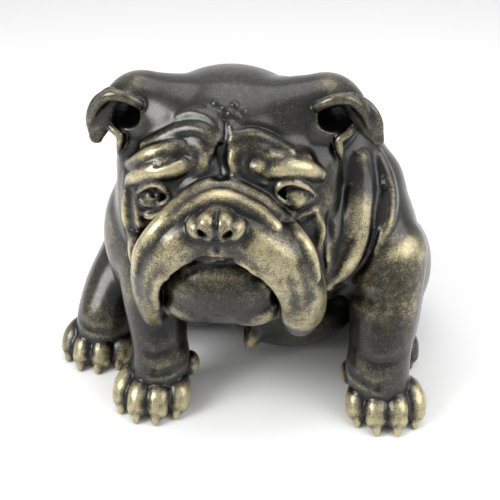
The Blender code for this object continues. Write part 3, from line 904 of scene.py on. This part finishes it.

# %% [markdown]
# Antique bronze paint on cast resin. A near-black base is brushed on, a lighter coat goes on in
# clouds and more where the surface sees the sky, as painted light from above, gold paste is
# rubbed over it with a cloth, and soot-dark paint stays in the creases. Three noises make it
# uneven: clouds as wide as a brush, rubbing as wide as a fold of the cloth, and specks of about a
# millimetre, coarser than the real pores, so that they show at this size. The paint is full of
# metal flake, so it lies between plastic and metal.

# %% Where the paint is worn, and where light is painted
CLOUD_MM, RUBBING_MM, SPECK_MM = 30.0, 6.0, 1.1
NOISE_MIDDLE = 0.5
bronze = new_material("antique_bronze_paint")
place = add_node(bronze, "TexCoord")["Object"]
crease_mask, raised_mask, gold_mask, painted_sky_light_mask = (
    add_node(bronze, "Attribute", {"attribute_name": name})["Fac"] for name in masks)
cloud, rubbing, specks = (
    add_node(bronze, "TexNoise", {}, {"Vector": place, "Scale": 1 / (width * MM), "Detail": detail,
                                      "Roughness": rough})["Fac"]
    for width, detail, rough in ((CLOUD_MM, 3.0, 0.6), (RUBBING_MM, 4.0, 0.7), (SPECK_MM, 4.0, 0.8)))

# A noise swings about its middle, so its weight times that middle is taken away again.
TIMES_PLUS = {"operation": "MULTIPLY_ADD"}
CLOUDING, RUBBED, SPECKLED = 0.6, 1.2, 2.8
# Painted light: the pewter coat follows clouds and the sky each point sees, so what faces up is painted
# lighter and what hangs is painted in shade.
clouds_and_painted_sky_light = add_node(bronze, "Math", TIMES_PLUS, {0: cloud, 1: CLOUDING, 2: -NOISE_MIDDLE * CLOUDING})[0]
clouds_and_painted_sky_light = add_node(bronze, "Math", {"operation": "ADD"}, {0: clouds_and_painted_sky_light, 1: painted_sky_light_mask})[0]
# Rubbing, specks and raised forms wear the paint through. The sky term is painted light from above, and the
# chin's painted shade comes in through the raised and gold masks.
WEAR_AND_PAINTED_LIGHT = [
    (raised_mask, 1.0), (gold_mask, 0.35), (crease_mask, -0.7), (painted_sky_light_mask, 0.25),
    (rubbing, RUBBED), (specks, SPECKLED),
]
wear_and_painted_light = -NOISE_MIDDLE * (RUBBED + SPECKLED)
for part, weight in WEAR_AND_PAINTED_LIGHT:
    wear_and_painted_light = add_node(bronze, "Math", TIMES_PLUS, {0: part, 1: weight, 2: wear_and_painted_light})[0]
print(len(bronze.node_tree.nodes), "nodes say where the paint is worn")

# %% [markdown]
# The coats go on one after another. Each has a value that steers it, the two levels between
# which it comes to cover fully, the most that it covers, and its colour. Gold covers fully
# only where it was wanted.

# %% Coats of paint
UMBER, PEWTER_CLOUDS_AND_PAINTED_LIGHT, BRONZE, GOLD, SOOT = "#060606", "#232320", "#6c654e", "#c6ba90", "#020202"
most_gold = add_node(bronze, "MapRange", {}, {"Value": gold_mask, "To Min": 0.3, "To Max": 1.0})["Result"]
# The pewter coat is cloudy tone and painted light from above in one.
COATS = [
    (clouds_and_painted_sky_light, 0.1, 0.9, 1.0, PEWTER_CLOUDS_AND_PAINTED_LIGHT),
    (wear_and_painted_light, 0.35, 1.05, 1.0, BRONZE),
    (wear_and_painted_light, 0.8, 1.6, most_gold, GOLD),
    (crease_mask, 0.25, 0.8, 1.0, SOOT),
]
tone = linear(UMBER)
for steer, start, full, most, colour in COATS:
    cover = add_node(bronze, "MapRange", {}, {"Value": steer, "From Min": start, "From Max": full,
                                              "To Max": most})["Result"]
    tone = add_node(bronze, "Mix", {"data_type": "RGBA"}, {0: cover, 6: tone, 7: linear(colour)})[2]
print(len(COATS), "coats over the base of", UMBER)

# %% [markdown]
# The paint has a satin varnish, thinner where little sky is seen. The specks are a little
# rougher than the rest, and with the rubbing they make a slight relief, as brushed paint has.
# It is too shallow to be worth geometry, so it is left to a bump.

# %% Sheen and relief
SHEEN, SPECK_ROUGHNESS, METAL_FLAKE = 0.2, 0.24, 0.6
RELIEF_MM, RELIEF_STRENGTH, SPECK_HEIGHT = 0.6, 0.25, 0.5
VARNISH_ROUGHNESS = 0.22
roughness = add_node(bronze, "Math", TIMES_PLUS, {0: specks, 1: SPECK_ROUGHNESS, 2: SHEEN})[0]
height = add_node(bronze, "Math", TIMES_PLUS, {0: specks, 1: SPECK_HEIGHT, 2: rubbing})[0]
bump = add_node(bronze, "Bump", {}, {"Strength": RELIEF_STRENGTH, "Distance": RELIEF_MM * MM,
                                     "Height": height})["Normal"]
varnish = add_node(bronze, "MapRange", {}, {"Value": painted_sky_light_mask, "From Max": 0.5, "To Min": 0.05,
                                            "To Max": 0.6})["Result"]
shader = add_node(bronze, "BsdfPrincipled", {}, {
    "Base Color": tone, "Metallic": METAL_FLAKE, "Roughness": roughness, "Normal": bump,
    "Coat Weight": varnish, "Coat Roughness": VARNISH_ROUGHNESS})["BSDF"]
add_node(bronze, "OutputMaterial", {}, {"Surface": shader})
skin.data.materials.append(bronze)
print(bronze.name, "has", len(bronze.node_tree.nodes), "nodes")

# %% [markdown]
# The photograph looks down on the dog from about 32 degrees, from a metre away. A view is an
# azimuth, an elevation and a distance from the point that it aims at, so the camera's place
# is the usual function of two angles.

# %% Camera
AZIMUTH, ELEVATION, DISTANCE, LENS, SENSOR = 5.0, 32.0, 1.0, 73.08, 36.0
AIM = (np.array([-12.0, -20.0, 158.0]) - MIDDLE) * MM


def camera_place(azimuth, elevation, distance):
    """aim + distance (sin(a) cos(e), -cos(a) cos(e), sin(e)), turned to look back at the aim."""
    a, e = math.radians(azimuth), math.radians(elevation)
    back = Vector((math.sin(a) * math.cos(e), -math.cos(a) * math.cos(e), math.sin(e)))
    turn = (-back).to_track_quat("-Z", "Y").to_matrix().to_4x4()
    return Matrix.Translation(Vector(AIM) + back * distance) @ turn


camera_data = bpy.data.cameras.new("camera")
camera_data.lens, camera_data.sensor_width = LENS, SENSOR
camera = in_scene("camera", camera_data)
camera.matrix_world = camera_place(AZIMUTH, ELEVATION, DISTANCE)
bpy.context.scene.camera = camera
print("camera at", [round(part, 3) for part in camera.matrix_world.translation])

# %% [markdown]
# The dog stands on white paper that sweeps up behind it, as in a photographer's studio: a
# plane and a wall would show a line where they meet.

# %% Studio floor
FLOOR_HALF, WALL_Y, WALL_HIGH, SWEEP = 3.0, 1.6, 2.5, 0.8


def studio_sweep():
    """A profile of flat floor, quarter circle and wall, carried straight across."""
    turn = np.linspace(0, math.pi / 2, 16)
    y = np.concatenate([[-FLOOR_HALF], WALL_Y + SWEEP * np.sin(turn), [WALL_Y + SWEEP]])
    z = np.concatenate([[0.0], SWEEP - SWEEP * np.cos(turn), [WALL_HIGH]])
    count = len(y)
    points = np.column_stack([np.repeat([-FLOOR_HALF, FLOOR_HALF], count), np.tile(y, 2), np.tile(z, 2)])
    return points, [[k, count + k, count + k + 1, k + 1] for k in range(count - 1)]


floor_mesh = mesh_of("studio_floor", studio_sweep())
floor_mesh.shade_smooth()
floor = in_scene("studio_floor", floor_mesh)
paper = new_material("white_paper")
matt = add_node(paper, "BsdfPrincipled", {}, {"Base Color": linear("#f4f4f4"), "Roughness": 0.9})["BSDF"]
add_node(paper, "OutputMaterial", {}, {"Surface": matt})
floor.data.materials.append(paper)
print("floor of", len(floor_mesh.polygons), "faces")

# %% [markdown]
# Two soft boxes and an overhead one make the long soft highlights of the photograph, and a
# white world fills the shadows. Each lamp is a name, a place, a size and a power.

# %% Lamps and world
LAMPS = [
    ("soft_box_left", (-1.1, -0.7, 1.0), 0.8, 18),
    ("soft_box_right", (1.2, -0.3, 1.0), 1.3, 14),
    ("overhead", (0.0, 0.3, 1.7), 1.2, 9),
]
LIT_POINT = Vector((0, 0, 0.15))
for name, spot, size, power in LAMPS:
    lamp_data = bpy.data.lights.new(name, "AREA")
    lamp_data.size, lamp_data.energy = size, power
    lamp = in_scene(name, lamp_data)
    lamp.location = spot
    lamp.rotation_euler = (LIT_POINT - Vector(spot)).to_track_quat("-Z", "Y").to_euler()

world = bpy.data.worlds.new("studio")
world.use_nodes = True
world.node_tree.nodes["Background"].inputs["Color"].default_value = (1, 1, 1, 1)
world.node_tree.nodes["Background"].inputs["Strength"].default_value = 0.55
bpy.context.scene.world = world
bpy.context.scene.view_settings.view_transform = "Standard"
print(len(LAMPS), "lamps and a white world")
